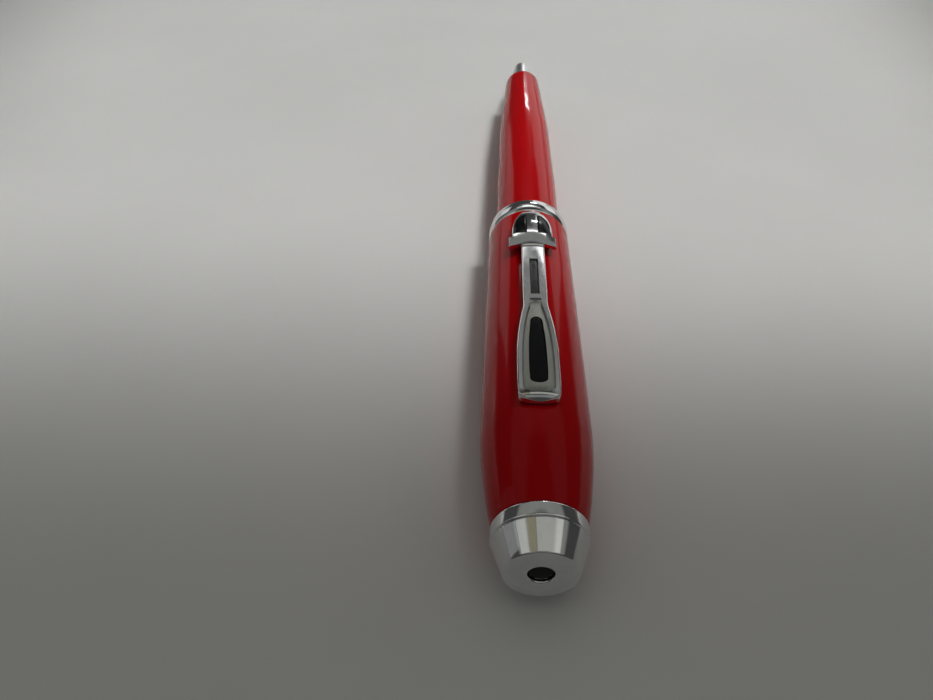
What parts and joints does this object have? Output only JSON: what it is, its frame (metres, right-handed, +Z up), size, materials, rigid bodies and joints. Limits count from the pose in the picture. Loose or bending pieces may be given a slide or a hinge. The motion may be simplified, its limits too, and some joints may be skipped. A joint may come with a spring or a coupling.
{
  "type": "rollerball pen",
  "caption": "Capped rollerball pen: pull-off cap with a sprung clip, grip section, screw-on tapered barrel and a spring-loaded rollerball refill.",
  "frame": {"origin": "centre of the bounding box's bottom: midway along the pen, straight under its axis, on the surface it lies on", "axes": "+Y along the pen from the cap's crown to the barrel's tail, +Z up, through the clip"},
  "size_m": [0.0152, 0.138, 0.017],
  "materials": {
    "lacquer": "deep red lacquer under a clear gloss coat",
    "chrome": "polished",
    "black_enamel": "glossy black enamel",
    "grip_plastic": "glossy black",
    "brass": "machined",
    "steel": "machined, satin",
    "nickel_silver": "turned, bright",
    "carbide": "ground tungsten carbide",
    "liner_plastic": "moulded, natural",
    "rubber": "matt",
    "refill_plastic": "moulded, semi-gloss",
    "fibre": "ink-soaked fibre"
  },
  "bodies": {
    "cap": {"cap_shell": "lacquer", "cap_liner": "liner_plastic", "lip_ring": "chrome", "snap_ring": "steel", "tip_seal": "rubber", "crown_cone": "chrome", "crown_band": "chrome", "crown_disc": "black_enamel", "crown_screw": "steel", "screw_washer": "steel", "clip_bracket": "steel", "bracket_rivet": "steel", "clip_pin": "steel", "clip_spring": "steel"},
    "clip": {"clip_frame": "chrome", "blade_inlay": "black_enamel", "neck_inlay": "black_enamel", "head_inlay_left": "black_enamel", "head_inlay_right": "black_enamel"},
    "section": {"nose_cone": "chrome", "grip_sleeve": "grip_plastic", "lock_ring": "chrome", "section_core": "brass", "thread_seal": "rubber"},
    "joint_ring": {"joint_ring": "chrome"},
    "barrel": {"barrel_shell": "lacquer", "barrel_bush": "brass", "tail_finial": "chrome", "finial_screw": "steel", "refill_spring": "steel"},
    "refill": {"refill_tube": "refill_plastic", "refill_nose": "refill_plastic", "refill_tip": "nickel_silver", "feed_rod": "fibre", "ink_reservoir": "fibre", "refill_plug": "refill_plastic"},
    "ball": {"writing_ball": "carbide"}
  },
  "joints": [
    {"name": "cap_pull", "type": "slide", "parent": "cap", "child": "section", "axis": [0, 1, 0], "range_m": [0, 0.058]},
    {"name": "clip_lift", "type": "hinge", "parent": "cap", "child": "clip", "pos_m": [0, -0.0465, 0.01603], "axis": [1, 0, 0], "range_deg": [0, 6], "stiffness_Nm_per_rad": 0.05, "springref_deg": -8.59, "deforming": ["clip_spring"]},
    {"name": "barrel_turn", "type": "hinge", "parent": "section", "child": "joint_ring", "pos_m": [0, -0.003, 0.00758], "axis": [0, 1, 0], "range_deg": [0, 2520]},
    {"name": "barrel_draw", "type": "slide", "parent": "joint_ring", "child": "barrel", "axis": [0, 1, 0], "range_m": [0, 0.06]},
    {"name": "refill_float", "type": "slide", "parent": "section", "child": "refill", "axis": [0, 1, 0], "range_m": [0, 0.0008], "stiffness_N_per_m": 200, "springref_m": -0.005, "deforming": ["refill_spring"]},
    {"name": "ball_roll", "type": "hinge", "parent": "refill", "child": "ball", "pos_m": [0, -0.05465, 0.00758], "axis": [1, 0, 0], "continuous": true}
  ]
}
